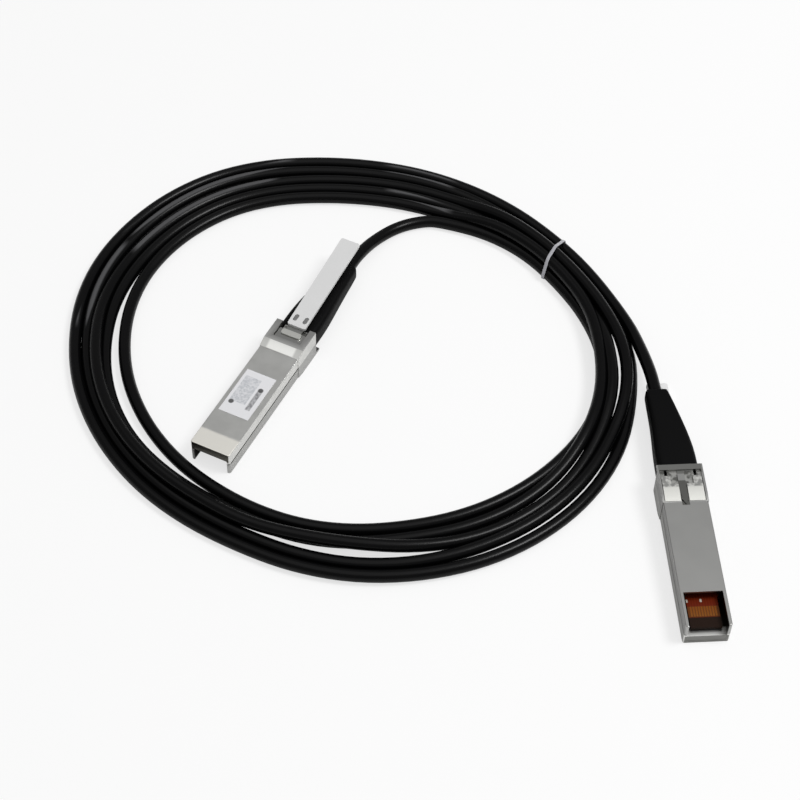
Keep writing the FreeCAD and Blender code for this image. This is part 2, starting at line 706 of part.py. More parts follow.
def return_springs(end):
    """Two small springs behind the slide's lugs, shown pressed solid as when the tab is pulled."""
    start = size("leg_start") + size("sheet_thickness")
    stop = size("top_length") - size("spring_wall") - size("slide_clearance") / 2
    turns = int(size("spring_turns"))
    turn = (stop - size("slide_travel") - start) / turns
    outer, inner = size("spring_diameter") / 2, size("spring_bore") / 2
    waist = (outer + inner) / 2
    rim = [(inner, start), (waist, start)]
    for index in range(turns):
        rim.append((outer, start + turn * (index + 0.5)))
        rim.append((waist, start + turn * (index + 1)))
    rim.append((inner, start + turn * turns))
    points = [FreeCAD.Vector(radius, along, 0) for radius, along in rim]
    profile = Part.Face(Part.makePolygon(points + points[:1]))
    coil = profile.revolve(FreeCAD.Vector(0, 0, 0), FreeCAD.Vector(0, 1, 0), 360)
    reach = size("leg_outer") + size("lug_reach") / 2
    height = size("split_height") - size("lug_height") / 2
    pair = [coil.translated(FreeCAD.Vector(side * reach, 0, height)) for side in (-1, 1)]
    springs = doc.addObject("Part::Feature", "return_springs_" + end)
    springs.Label = "return_springs_" + end
    springs.Shape = Part.makeCompound(pair)
    return springs


def label(end):
    """The paper label in the shallow recess of the label face."""
    sticker = doc.addObject("Part::Box", "label_" + end)
    sticker.Label = "label_" + end
    sticker.setExpression("Length", bound("label_width"))
    sticker.setExpression("Width", bound("label_length"))
    sticker.setExpression("Height", bound("label_thickness"))
    return sticker


def end_placement(end):
    """Lays an end down: a on its latch face, b turned over on its label face."""
    flipped = end == "b"
    step = size("label_face_step" if flipped else "latch_face_step")
    tilt = math.degrees(math.atan(step / (size("nose_length") + size("slope_length"))))
    corner = FreeCAD.Vector(size(f"end_{end}_across"), size(f"end_{end}_along"), 0)
    turn = FreeCAD.Rotation(FreeCAD.Vector(0, 0, 1), -size(f"end_{end}_yaw"))
    lean = FreeCAD.Rotation(FreeCAD.Vector(1, 0, 0), tilt)
    lying = FreeCAD.Placement(corner, turn * lean)
    if flipped:
        over = FreeCAD.Placement(FreeCAD.Vector(0, 0, size("nose_height")),
                                 FreeCAD.Rotation(FreeCAD.Vector(0, 1, 0), 180))
        lying = lying * over
    return lying


def route_tube(node, points, radius):
    """A free stretch of cable, with its volume held against its section times its length."""
    shape, path, radii = tube_along(points, radius)
    swept = math.pi * radius ** 2 * path.Length
    print(f"{node}: length {path.Length:.1f}, volume share {shape.Volume / swept:.4f}, "
          f"radii {[round(r, 1) for r in radii]}")
    tube = doc.addObject("Part::Feature", node)
    tube.Label = node
    tube.Shape = shape
    return tube


def cable_lead(end, route):
    """The free stretch of cable from a boot's tip to the coil."""
    lying = end_placement(end)
    tip = lying.multVec(inner_route(end)[-1])
    points = [tip] + [FreeCAD.Vector(*point) for point in route]
    return route_tube("cable_lead_" + end, points, size("cable_diameter") / 2)


def ring_wire(radii, inset, height):
    """A smooth closed line round the coil, through points at even angles."""
    step = 2 * math.pi / len(radii)
    points = [FreeCAD.Vector(size("coil_across") + (r + inset) * math.cos(k * step),
                             size("coil_along") + (r + inset) * math.sin(k * step), height)
              for k, r in enumerate(radii)]
    curve = Part.BSplineCurve()
    curve.interpolate(Points=points, PeriodicFlag=True)
    return Part.Wire(curve.toShape())


def ring_side(radii, inset):
    """A solid inside one edge of the coil, eased by the inset at its top and bottom."""
    top = size("coil_height")
    ease = size("coil_edge_ease")
    levels = ((inset, 0), (0, ease), (0, top - ease), (inset, top))
    return Part.makeLoft([ring_wire(radii, shift, height) for shift, height in levels], True, True)


def cable_coil():
    """The coiled turns as one ring, with a notch below where the tie passes."""
    ease = size("coil_edge_ease")
    ring = ring_side(COIL_OUTER, -ease).cut(ring_side(COIL_INNER, ease))
    depth = size("tie_thickness") + 2 * size("tie_clearance")
    breadth = size("tie_breadth") + 2 * size("tie_clearance")
    notch = Part.makeBox(2 * size("tie_span"), breadth, depth,
                         FreeCAD.Vector(-size("tie_span"), -breadth / 2, 0))
    notch.Placement = tie_placement()
    coil = doc.addObject("Part::Feature", "cable_coil")
    coil.Label = "cable_coil"
    coil.Shape = ring.cut(notch)
    return coil


def tie_placement():
    return FreeCAD.Placement(FreeCAD.Vector(size("tie_across"), size("tie_along"), 0),
                             FreeCAD.Rotation(FreeCAD.Vector(0, 0, 1), size("tie_direction")))


def cable_tie():
    """A narrow clear band, closed round all the turns."""
    body = new_body("cable_tie")
    band = rounded_outline(body, "band_outline", "XZ_Plane",
                           ("0", "(coil_height + tie_thickness + 2 * tie_clearance) / 2"),
                           "tie_span + 2 * tie_thickness", "coil_height + tie_thickness",
                           "coil_edge_ease + tie_thickness", "-tie_breadth / 2")
    pad(body, "band", band, "tie_breadth")
    inside = rounded_outline(body, "band_inside", "XZ_Plane",
                             ("0", "(coil_height + tie_thickness + 2 * tie_clearance) / 2"),
                             "tie_span", "coil_height - tie_thickness", "coil_edge_ease",
                             "-tie_breadth / 2")
    cut(body, "band_hollow", inside, "2 * tie_breadth", reverse=True)
    return body


def build_end(end):
    pieces = [top_shell(end), bottom_shell(end), latch_slide(end), return_springs(end),
              pull_tab(end), tab_studs(end), paddle_card(end), contact_fingers(end),
              card_components(end), core_pair("send_pair", end, "+"),
              core_pair("receive_pair", end, "-"), crimp_ferrule(end), cable_tail(end), boot(end)]
    lying = end_placement(end)
    if end == "a":
        sticker = label(end)
        corner = FreeCAD.Vector(size("label_offset") - size("label_width") / 2,
                                size("label_start"),
                                size("nose_height") - size("front_pad_height"))
        sticker.Placement = FreeCAD.Placement(corner, FreeCAD.Rotation())
        pieces.append(sticker)
    for piece in pieces:
        piece.Placement = lying * piece.Placement
    return pieces


pieces = build_end("a") + build_end("b")
pieces += [cable_coil(), cable_lead("a", LEAD_A), cable_lead("b", LEAD_B)]
tie = cable_tie()
tie.Placement = tie_placement()
pieces.append(tie)
doc.recompute()

for item in doc.Objects:
    if "Invalid" in item.State or "Error" in item.State:
        raise RuntimeError(f"{item.Label} failed: {item.State}")
os.makedirs("parts", exist_ok=True)
for piece in pieces:
    if piece.Shape.isNull() or not piece.Shape.isValid():
        raise RuntimeError(f"{piece.Label} has no valid shape")
for piece in pieces:
    piece.Shape.exportStep(f"parts/{piece.Label}.step")
print(len(pieces), "nodes")
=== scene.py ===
# %% [markdown]
# A direct attach copper cable: two die-cast plugs for a network switch, joined by three metres of
# black twinax cable that lies coiled on a white table. The engineering model of every rigid part is
# loaded first and never moved. This notebook gives that model its finishes, swaps the plain
# stand-ins for softer shapes, and lays the cable down as one long curve.

# %% Load the frame and note how large it is
import math
import bmesh
import bpy
from mathutils import Matrix, Vector


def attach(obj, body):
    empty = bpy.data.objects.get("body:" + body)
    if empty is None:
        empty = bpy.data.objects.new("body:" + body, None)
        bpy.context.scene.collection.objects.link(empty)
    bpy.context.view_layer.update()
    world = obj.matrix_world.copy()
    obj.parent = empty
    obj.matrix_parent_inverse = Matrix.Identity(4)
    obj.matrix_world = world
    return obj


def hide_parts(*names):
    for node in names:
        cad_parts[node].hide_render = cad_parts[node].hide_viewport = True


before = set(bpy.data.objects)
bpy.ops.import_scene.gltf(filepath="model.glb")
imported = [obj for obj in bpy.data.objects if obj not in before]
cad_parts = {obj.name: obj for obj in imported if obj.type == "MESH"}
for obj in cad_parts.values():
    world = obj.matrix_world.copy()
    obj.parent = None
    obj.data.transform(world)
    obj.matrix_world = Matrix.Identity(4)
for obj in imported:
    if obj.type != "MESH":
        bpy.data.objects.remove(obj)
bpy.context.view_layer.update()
MM = 0.001                            # lengths below are in millimetres unless they say otherwise
print("nodes:", len(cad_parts))

# %% [markdown]
# Both plugs are the same product, so each detail is thought out once in the plug's own frame: x
# across, y from its front edge towards the cable, z up from its latch face, in millimetres. Two
# matrices carry that frame to where the plugs lie. Plug a rests on its latch face. Plug b is turned
# over, so its latch face looks up.

# %% Where the two plugs lie
NOSE_HEIGHT = 8.5
SLOPE = (43.84, 46.84)                # where the housing's top climbs, with a crease at either end


def lie_down(corner, yaw, step, turned_over):
    """The plug's own frame in the scene's. The step is how far its rear lifts it off the table."""
    place = Matrix.Translation((corner[0] * MM, corner[1] * MM, 0))
    place @= Matrix.Rotation(math.radians(-yaw), 4, "Z")
    place @= Matrix.Rotation(math.atan(step / SLOPE[1]), 4, "X")
    if turned_over:
        place @= Matrix.Translation((0, 0, NOSE_HEIGHT * MM)) @ Matrix.Rotation(math.pi, 4, "Y")
    return place


PLACES = {"a": lie_down(corner=(-73.77, -14.47), yaw=25.31, step=0.42, turned_over=False),
          "b": lie_down(corner=(72.94, -74.43), yaw=-4.81, step=1.14, turned_over=True)}
for end, place in PLACES.items():
    print("plug", end, "points along", [round(v, 3) for v in place.col[1][:3]])

# %% [markdown]
# The camera comes before anything else, because the coil is laid out to match the picture. It
# stands in front of the table and looks down at about fifty degrees through a long lens. Its three
# axes are worked out from that one angle and a slight roll, then written into its matrix.

# %% Camera
ELEVATION = 0.8603                    # radians above the table
DISTANCE = 0.63743                    # metres from the target
ROLL = 0.0258
TARGET = Vector((-0.016465, 0.01425, 0))
SENSOR = 36
PICTURE, FOCAL_LENGTH = 800, 2020.59  # both in pixels


def add_camera():
    view = Vector((0, math.cos(ELEVATION), -math.sin(ELEVATION)))
    side = Vector((1, 0, 0))
    up = side.cross(view)
    across = side * math.cos(ROLL) + up * math.sin(ROLL)
    above = up * math.cos(ROLL) - side * math.sin(ROLL)
    camera = bpy.data.objects.new("camera", bpy.data.cameras.new("camera"))
    bpy.context.scene.collection.objects.link(camera)
    camera.data.sensor_width = SENSOR
    camera.data.lens = SENSOR * FOCAL_LENGTH / PICTURE
    camera.data.clip_start = 0.01
    place = Matrix((across, above, -view)).transposed().to_4x4()
    place.translation = TARGET - view * DISTANCE
    camera.matrix_world = place
    bpy.context.scene.camera = camera
    return camera


camera = add_camera()
print("lens", round(camera.data.lens, 2), "mm")

# %% [markdown]
# The cable is a NURBS curve with a round bevel. One short list of points leads it out of plug a's
# boot and down to the table, and another leads it up into plug b's. The coil between them has five
# turns. Loose turns never lie in one neat spiral: they fan out, bunch together and climb over each
# other. So the coil is written as a table of stations round its middle, each named by its angle in
# degrees. A station gives the distance of every turn from the middle, in the order in which the
# cable runs through them, and how far each is lifted by the turns under it. From 420 down to 375
# degrees the cable's start and end overlap, so those stations have six turns.

# %% The coil's stations
CABLE = 4.0
COIL_MIDDLE = (-37.165, 34.45)
STATIONS = {
    420: ((67.2, 71.2, 75.0, 78.9, 82.7, 86.2), (0, 0, 0, 0, 0, 0)),
    410: ((71.3, 74.1, 77.0, 79.9, 82.8, 86.7), (0, 2.9, 0, 2.7, 0, 0)),
    400: ((75.0, 77.0, 79.1, 81.1, 83.2, 87.2), (0, 3.45, 0, 3.45, 0, 0)),
    390: ((76.3, 78.3, 80.3, 82.3, 84.4, 88.4), (0.5, 3.95, 0.5, 3.95, 0.5, 0.5)),
    375: ((81.0, 82.9, 84.9, 86.8, 88.7, 92.5), (0, 3.5, 0, 3.5, 0, 0)),
    366: ((84.0, 83.5, 86.9, 90.4, 93.4), (0, 3.6, 2.2, 3.6, 0)),
    360: ((85.6, 84.3, 87.2, 92.4, 94.5), (0, 3.8, 4.4, 3.6, 0)),
    355: ((86.2, 84.9, 87.7, 93.9, 94.9), (0, 3.8, 5.2, 3.9, 0)),
    350: ((86.9, 85.8, 89.1, 94.2, 95.4), (0, 3.8, 4.9, 3.8, 0)),
    345: ((86.7, 86.5, 90.5, 94.2, 96.1), (0, 3.9, 3.6, 3.5, 0)),
    335: ((85.3, 86.8, 90.2, 93.9, 97.8), (0, 3.6, 1.6, 1.9, 0)),
    320: ((82.3, 86.2, 90.6, 94.4, 98.3), (0, 0.4, 0, 1.8, 0)),
    300: ((78.2, 82.8, 87.4, 91.5, 96.2), (0, 0, 0, 0.6, 0)),
    285: ((75.2, 79.4, 84.0, 89.0, 93.2), (0, 0, 2.4, 0.3, 0.2)),
    270: ((73.6, 78.4, 79.8, 85.3, 90.0), (0, 0, 3.7, 0, 0.6)),
    255: ((71.0, 75.2, 78.0, 80.9, 85.0), (0, 0, 2.9, 0, 0)),
    240: ((68.7, 73.2, 75.9, 78.6, 82.8), (0, 0, 3.1, 0, 0)),
    210: ((67.1, 74.2, 76.3, 78.3, 82.1), (0, 0, 3.4, 0, 0)),
    180: ((68.5, 74.5, 77.5, 80.5, 84.5), (0, 0, 2.7, 0, 0)),
    165: ((70.2, 75.4, 79.2, 82.9, 86.9), (0, 0, 0.6, 0, 0)),
    150: ((71.7, 75.8, 79.9, 84.4, 88.7), (0, 0, 0, 0, 0)),
    120: ((72.5, 76.6, 80.8, 86.1, 90.3), (0, 0, 0, 0, 0)),
    90: ((69.2, 73.3, 77.6, 82.0, 86.4), (0, 0, 0, 0, 0)),
}
print(len(STATIONS), "stations round the coil")

# %% [markdown]
# Between two stations a turn moves smoothly from one distance to the next. A cubic that leaves each
# station with the slope of its neighbours does this without corners. The loop then drops one
# control point every twelve degrees, thirty to a turn.

# %% The cable's control points
LEAD_A = [(-34.4, 66.0, 5.08), (-34.34, 67.5, 5.07), (-31.1, 74.1, 4.9), (-26.3, 82.4, 3.0),
          (-18.6, 90.0, 2.0), (-9.4, 93.2, 2.0)]
LEAD_B = [(56.7, 48.2, 2.6), (60.2, 34.4, 4.7), (62.4, 23.8, 6.0), (63.33, 15.95, 6.46),
          (63.4, 14.4, 6.5)]
FIRST, LAST, STRIDE = 30, 5 * 360 + 75, 12      # degrees travelled, clockwise from the top
TOP = 90                              # the angle of the coil's top


def laid_stations():
    """Every station in the order in which the cable meets it: angle travelled, distance, lift."""
    rows = []
    for angle, (distances, lifts) in STATIONS.items():
        for turn, (distance, lift) in enumerate(zip(distances, lifts)):
            rows.append((TOP - angle + 360 * (turn + 1), distance, lift))
    return sorted(row for row in rows if row[0] <= LAST)


def between(rows, travelled):
    """Distance and lift at an angle travelled."""
    index = max(i for i, row in enumerate(rows[:-1]) if row[0] <= travelled)
    near, far = rows[index], rows[index + 1]
    before, after = rows[max(index - 1, 0)], rows[min(index + 2, len(rows) - 1)]
    span = far[0] - near[0]
    t = (travelled - near[0]) / span
    found = []
    for k in (1, 2):
        leave = (far[k] - before[k]) / (far[0] - before[0]) * span
        arrive = (after[k] - near[k]) / (after[0] - near[0]) * span
        found.append((2 * t ** 3 - 3 * t ** 2 + 1) * near[k] + (t ** 3 - 2 * t ** 2 + t) * leave
                     + (3 * t ** 2 - 2 * t ** 3) * far[k] + (t ** 3 - t ** 2) * arrive)
    return found


def coil_points():
    rows = laid_stations()
    points = []
    for travelled in range(FIRST, LAST + 1, STRIDE):
        distance, lift = between(rows, travelled)
        angle = math.radians(TOP - travelled)
        points.append((COIL_MIDDLE[0] + distance * math.cos(angle),
                       COIL_MIDDLE[1] + distance * math.sin(angle), CABLE / 2 + max(lift, 0)))
    return points


route = LEAD_A + coil_points() + LEAD_B
print(len(route), "control points")

# %% Lay the cable
def lay_curve(name, points, width):
    curve = bpy.data.curves.new(name, "CURVE")
    curve.dimensions = "3D"
    curve.bevel_depth = 1.0           # times each point's radius, which the curve's box follows
    curve.bevel_resolution = 5
    curve.resolution_u = 5
    curve.use_fill_caps = True
    spline = curve.splines.new("NURBS")
    spline.points.add(len(points) - 1)
    for point, place in zip(spline.points, points):
        point.co = (*[value * MM for value in place], 1)
        point.radius = width / 2 * MM
    spline.order_u = 3
    spline.use_endpoint_u = True
    spline.use_smooth = True
    piece = bpy.data.objects.new(name, curve)
    bpy.context.scene.collection.objects.link(piece)
    return piece


cable = lay_curve("coiled_cable", route, CABLE)
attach(cable, "root")
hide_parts("cable_coil", "cable_lead_a", "cable_lead_b")


def centreline(piece):
    """The line that the curve really follows, as a mesh of points with no bevel."""
    bare = piece.copy()
    bare.data = piece.data.copy()
    bare.data.bevel_depth = 0
    mesh = bpy.data.meshes.new_from_object(bare)
    line = [vertex.co.copy() for vertex in mesh.vertices]
    bpy.data.objects.remove(bare)
    return line


line = centreline(cable)
cable_length = sum((b - a).length for a, b in zip(line, line[1:]))
print("cable length", round(cable_length, 3), "m")

# %% [markdown]
# Most pieces below are shaped by hand operations, so a few small helpers keep that readable. One
# leaves a single piece selected. One picks faces or edges by where they are and which way they
# point. One breaks the sharp edges of a copy of an engineering part, because no cast or stamped
# edge is a perfect knife, and that thin bright line is what makes metal look real.

# %% Helpers for shaping
def only(piece):
    bpy.ops.object.select_all(action="DESELECT")
    piece.select_set(True)
    bpy.context.view_layer.objects.active = piece


def edit(piece):
    only(piece)
    bpy.ops.object.mode_set(mode="EDIT")
    bpy.ops.mesh.select_all(action="DESELECT")


def leave():
    bpy.ops.object.mode_set(mode="OBJECT")


def pick(piece, kind, wanted):
    """Selects the faces or edges of which the test accepts the middle and the direction."""
    bpy.ops.mesh.select_all(action="DESELECT")
    bpy.ops.mesh.select_mode(type=kind)
    mesh = bmesh.from_edit_mesh(piece.data)
    if kind == "FACE":
        chosen = [f for f in mesh.faces if wanted(f.calc_center_median(), f.normal)]
    else:
        chosen = [e for e in mesh.edges
                  if wanted((e.verts[0].co + e.verts[1].co) / 2,
                            (e.verts[1].co - e.verts[0].co).normalized())]
    for item in chosen:
        item.select_set(True)
    mesh.select_flush_mode()
    bmesh.update_edit_mesh(piece.data)


def new_piece(name):
    """Takes over the primitive that was just added, with its size written into its mesh."""
    piece = bpy.context.active_object
    piece.name = piece.data.name = name
    bpy.ops.object.transform_apply(location=True, rotation=True, scale=True)
    return piece


def modify(piece, kind, **settings):
    only(piece)
    modifier = piece.modifiers.new(kind.lower(), kind)
    for name, value in settings.items():
        setattr(modifier, name, value)
    bpy.ops.object.modifier_apply(modifier=modifier.name)


def smooth(piece, degrees=35):
    only(piece)
    bpy.ops.object.shade_smooth_by_angle(angle=math.radians(degrees))


MERGED = 1e-6                         # metres: vertices closer than this are one
CREASE = 0.05                         # an edge this near either end of the slope is its crease


def softened(node, name, width):
    """A copy of an engineering node with its triangles joined and its edges broken."""
    back = PLACES[node[-1]].inverted()
    piece = bpy.data.objects.new(name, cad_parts[node].data.copy())
    bpy.context.scene.collection.objects.link(piece)
    edit(piece)
    bpy.ops.mesh.select_all(action="SELECT")
    bpy.ops.mesh.remove_doubles(threshold=MERGED)
    bpy.ops.mesh.dissolve_limited(angle_limit=math.radians(1))
    leave()
    modify(piece, "BEVEL", width=width * MM, segments=2, limit_method="ANGLE",
           angle_limit=math.radians(40), use_clamp_overlap=True, miter_outer="MITER_ARC")
    smooth(piece)
    edit(piece)
    pick(piece, "EDGE", lambda p, d: min(abs((back @ p).y / MM - y) for y in SLOPE) < CREASE
         and abs((back.to_3x3() @ d).x) > 0.95)
    bpy.ops.mesh.mark_sharp()
    leave()
    modify(piece, "WEIGHTED_NORMAL", keep_sharp=True, weight=80)
    return piece


def settle(piece, body, slot, *nodes):
    """Says which body a piece rides on and what it stands for. Its slot is not used."""
    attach(piece, body)
    if nodes:
        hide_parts(*nodes)


# %% [markdown]
# A plug's housing is two zinc castings that meet at a seam. Their shapes come from the engineering
# model and only need their edges broken, about a tenth of a millimetre. The latch slide is stamped
# sheet, with an even finer edge. The pull tab is moulded nylon, so its edge is rounder.

# %% Break the edges of the metal and the tab
BROKEN = [("top_shell", 0.12, "root", "die_cast_metal"),
          ("bottom_shell", 0.12, "root", "die_cast_metal"),
          ("latch_slide", 0.06, "latch", "slide_steel"),
          ("pull_tab", 0.2, "latch", "clear_tab"),
          ("tab_studs", 0.12, "latch", "stud_metal")]
pieces = {}
for end in "ab":
    for part, width, body, slot in BROKEN:
        node = f"{part}_{end}"
        piece = softened(node, f"soft_{node}", width)
        settle(piece, body if body == "root" else f"{body}_{end}", slot, node)
        pieces[node] = piece
        print(piece.name, len(piece.data.polygons), "faces")

# %% [markdown]
# Just inside the mouth the upper casting has a cross bar, three millimetres deep, that keeps the
# circuit card from lifting. It is a block nearly as wide as the mouth with its lower edges broken,
# joined to its casting so that the two are one piece.

# %% The bar inside each mouth
BAR_WIDTH, BAR_DEPTH, BAR_LOW, BAR_HIGH = 11.5, 3.1, 5.2, 7.35
BAR_SET_BACK, BAR_ROUND = 0.05, 0.25


def mouth_bar(end):
    bpy.ops.object.select_all(action="DESELECT")
    bpy.ops.mesh.primitive_cube_add(
        size=1, scale=(BAR_WIDTH * MM, BAR_DEPTH * MM, (BAR_HIGH - BAR_LOW) * MM),
        location=(0, (BAR_DEPTH / 2 + BAR_SET_BACK) * MM, (BAR_LOW + BAR_HIGH) / 2 * MM))
    bar = new_piece(f"mouth_bar_{end}")
    edit(bar)
    pick(bar, "EDGE", lambda p, d: abs(d.x) > 0.9 and p.z < (BAR_LOW + 0.1) * MM)
    bpy.ops.mesh.bevel(offset=BAR_ROUND * MM, segments=3, affect="EDGES")
    leave()
    bar.data.transform(PLACES[end])
    smooth(bar)
    shell = pieces[f"top_shell_{end}"]
    only(shell)
    bar.select_set(True)
    bpy.ops.object.join()


for end in "ab":
    mouth_bar(end)
    print("bar in mouth", end)

# %% [markdown]
# The card's gold fingers sit back from its front edge, so that the earth touches first and the
# signals last. Each row is one copy of the engineering rows, drawn in a little in the plug's own
# frame and set further back.

# %% Contact fingers
ROW_FRONT, ROW_BACK_BY, ROW_STRETCH = 2.6, 3.2, 0.8


def contact_rows(end):
    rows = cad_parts[f"contact_fingers_{end}"].data.copy()
    piece = bpy.data.objects.new(f"contact_rows_{end}", rows)
    bpy.context.scene.collection.objects.link(piece)
    to_front = Matrix.Translation((0, -ROW_FRONT * MM, 0))
    drawn_in = Matrix.Scale(ROW_STRETCH, 4, (0, 1, 0))
    back = Matrix.Translation((0, (ROW_FRONT + ROW_BACK_BY) * MM, 0))
    piece.data.transform(PLACES[end] @ back @ drawn_in @ to_front @ PLACES[end].inverted())
    settle(piece, "root", "contact_gold", f"contact_fingers_{end}")
    return piece


for end in "ab":
    pieces[f"contact_fingers_{end}"] = contact_rows(end)
    print("contact rows", end)

# %% [markdown]
# The boot is the black rubber sleeve that stops the cable from kinking where it leaves the metal.
# By hand it starts as a block behind the housing. The long edges are rounded, then the end face is
# pulled out again and again, a little smaller and a little further to one side each time. The
# mouth is pushed in round the cable, and a subdivision turns the steps into one soft taper. Each
# step has its share of the length, its width and height, and its share of the bend to one side.

# %% The boots
BOOT_START = 55.6
BOOT_LENGTHS = {"a": 33.8, "b": 33.2}
BOOT_MIDDLE = NOSE_HEIGHT / 2
BOOT_SIZES = [(0.24, 12.6, 7.4, 0.03), (0.42, 11.5, 7.2, 0.11), (0.62, 9.9, 6.8, 0.31),
              (0.82, 8.5, 6.3, 0.66), (1.0, 7.2, 5.7, 1.0)]
BOOT_BEND = {"a": 0.6, "b": 2.0}
BOOT_ROUND, FRONT_RIM = 2.0, 0.2
MOUTH_RIMS, MOUTH_SUNK = (0.25, 0.3), 0.5


def boot(end):
    share, width, height, _ = BOOT_SIZES[0]
    length = BOOT_LENGTHS[end]
    depth = share * length
    bpy.ops.object.select_all(action="DESELECT")
    bpy.ops.mesh.primitive_cube_add(size=1, scale=(width * MM, depth * MM, height * MM),
                                    location=(0, (BOOT_START + depth / 2) * MM, BOOT_MIDDLE * MM))
    piece = new_piece(f"boot_sleeve_{end}")
    edit(piece)
    pick(piece, "EDGE", lambda p, d: abs(d.y) > 0.9)
    bpy.ops.mesh.bevel(offset=BOOT_ROUND * MM, segments=4, affect="EDGES")
    pick(piece, "FACE", lambda p, n: n.y > 0.9)
    before = BOOT_SIZES[0]
    for now in BOOT_SIZES[1:]:
        along = (now[0] - before[0]) * length
        aside = (now[3] - before[3]) * BOOT_BEND[end]
        bpy.ops.mesh.extrude_region_move(
            TRANSFORM_OT_translate={"value": (aside * MM, along * MM, 0)})
        middle = (now[3] * BOOT_BEND[end] * MM, (BOOT_START + now[0] * length) * MM,
                  BOOT_MIDDLE * MM)
        bpy.ops.transform.resize(value=(now[1] / before[1], 1, now[2] / before[2]),
                                 center_override=middle)
        before = now
    for rim in MOUTH_RIMS:
        bpy.ops.mesh.inset(thickness=rim * MM)
    bpy.ops.mesh.extrude_region_move(TRANSFORM_OT_translate={"value": (0, -MOUTH_SUNK * MM, 0)})
    pick(piece, "FACE", lambda p, n: n.y < -0.9 and p.y < (BOOT_START + 1) * MM)
    bpy.ops.mesh.inset(thickness=FRONT_RIM * MM)
    leave()
    modify(piece, "SUBSURF", levels=2, render_levels=2)
    piece.data.transform(PLACES[end])
    smooth(piece, 60)
    settle(piece, "root", "boot_black", f"boot_{end}")
    return piece


for end in "ab":
    pieces[f"boot_{end}"] = boot(end)
    print("boot", end, "faces", len(pieces[f"boot_{end}"].data.polygons))

# %% [markdown]
# A thin clear band ties the turns together. It is pulled tight, so seen from its side it is a
# string round a bundle: straight where it bridges two strands and curved only where it bends round
# one. That is exactly what a convex hull is. A short disc is set on each strand where it crosses
# the band, the hull of all of them is taken, and its two flat sides are removed.

# %% The tie
TIE_PLACE = Matrix.Translation((0.03383, 0.07642, 0)) @ Matrix.Rotation(math.radians(64.7), 4, "Z")
TIE_REACH = 14                        # to either side of the tie's middle
TIE_BREADTH, TIE_THICKNESS, TIE_EDGE, TIE_SLACK = 1.1, 0.35, 0.12, 0.02


def crossings():
    """Where the cable passes through the band, in the band's own frame, and how squarely."""
    local = [TIE_PLACE.inverted() @ point for point in line]
    found = []
    for a, b in zip(local, local[1:]):
        if a.y * b.y <= 0 and a.y != b.y and abs(a.x) < TIE_REACH * MM:
            found.append((a.lerp(b, a.y / (a.y - b.y)), abs((b - a).normalized().y)))
    return found


def tie_band():
    discs = []
    for middle, squareness in crossings():
        bpy.ops.object.select_all(action="DESELECT")
        bpy.ops.mesh.primitive_cylinder_add(
            vertices=32, radius=(CABLE / 2 + TIE_SLACK) * MM, depth=TIE_BREADTH * MM,
            location=(middle.x, 0, middle.z), rotation=(math.pi / 2, 0, 0),
            scale=(1 / squareness, 1, 1))
        bpy.ops.object.transform_apply(location=True, rotation=True, scale=True)
        discs.append(bpy.context.active_object)
    for disc in discs:
        disc.select_set(True)
    bpy.ops.object.join()
    band = new_piece("clear_tie")
    edit(band)
    bpy.ops.mesh.select_all(action="SELECT")
    bpy.ops.mesh.convex_hull()
    bpy.ops.mesh.remove_doubles(threshold=MERGED)
    pick(band, "FACE", lambda p, n: abs(n.y) > 0.9)
    bpy.ops.mesh.delete(type="ONLY_FACE")
    bpy.ops.mesh.select_all(action="SELECT")
    bpy.ops.mesh.normals_make_consistent(inside=False)
    leave()
    modify(band, "SOLIDIFY", thickness=TIE_THICKNESS * MM, offset=1)
    modify(band, "BEVEL", width=TIE_EDGE * MM, segments=2, limit_method="ANGLE")
    band.data.transform(TIE_PLACE)
    smooth(band, 50)
    settle(band, "root", "tie_clear", "cable_tie")
    return band


tie = tie_band()
print("strands in the tie:", len(crossings()))

# %% [markdown]
# Every finish is a small shader written as arithmetic. The class below wraps one output of a node.
# Python's own operators on it add the matching Math node, so a mask reads like a formula. One
# method adds any other node from its type, its settings and what goes into its sockets.

# %% A small class for shader arithmetic
class Wire:
    def __init__(self, finish, socket):
        self.finish, self.socket = finish, socket

    def maths(self, operation, *values):
        return self.finish.node("ShaderNodeMath", {"operation": operation},
                                dict(enumerate((self, *values))))

    def __add__(self, other):
        return self.maths("ADD", other)

    def __sub__(self, other):
        return self.maths("SUBTRACT", other)

    def __rsub__(self, other):
        return self.finish.node("ShaderNodeMath", {"operation": "SUBTRACT"}, {0: other, 1: self})

    def __mul__(self, other):
        return self.maths("MULTIPLY", other)

    def __truediv__(self, other):
        return self.maths("DIVIDE", other)

    __radd__ = __add__
    __rmul__ = __mul__

    def size(self):
        return self.maths("ABSOLUTE")

    def ramp(self, low, high):
        """Rises smoothly from nought to one as the value goes from low to high."""
        return self.finish.node("ShaderNodeMapRange", {"interpolation_type": "SMOOTHSTEP"},
                                {0: self, 1: low, 2: high, 3: 0.0, 4: 1.0})

    def within(self, low, high, soft):
        """One between low and high, nought outside, with soft edges."""
        return self.ramp(low - soft, low + soft) * self.ramp(high + soft, high - soft)


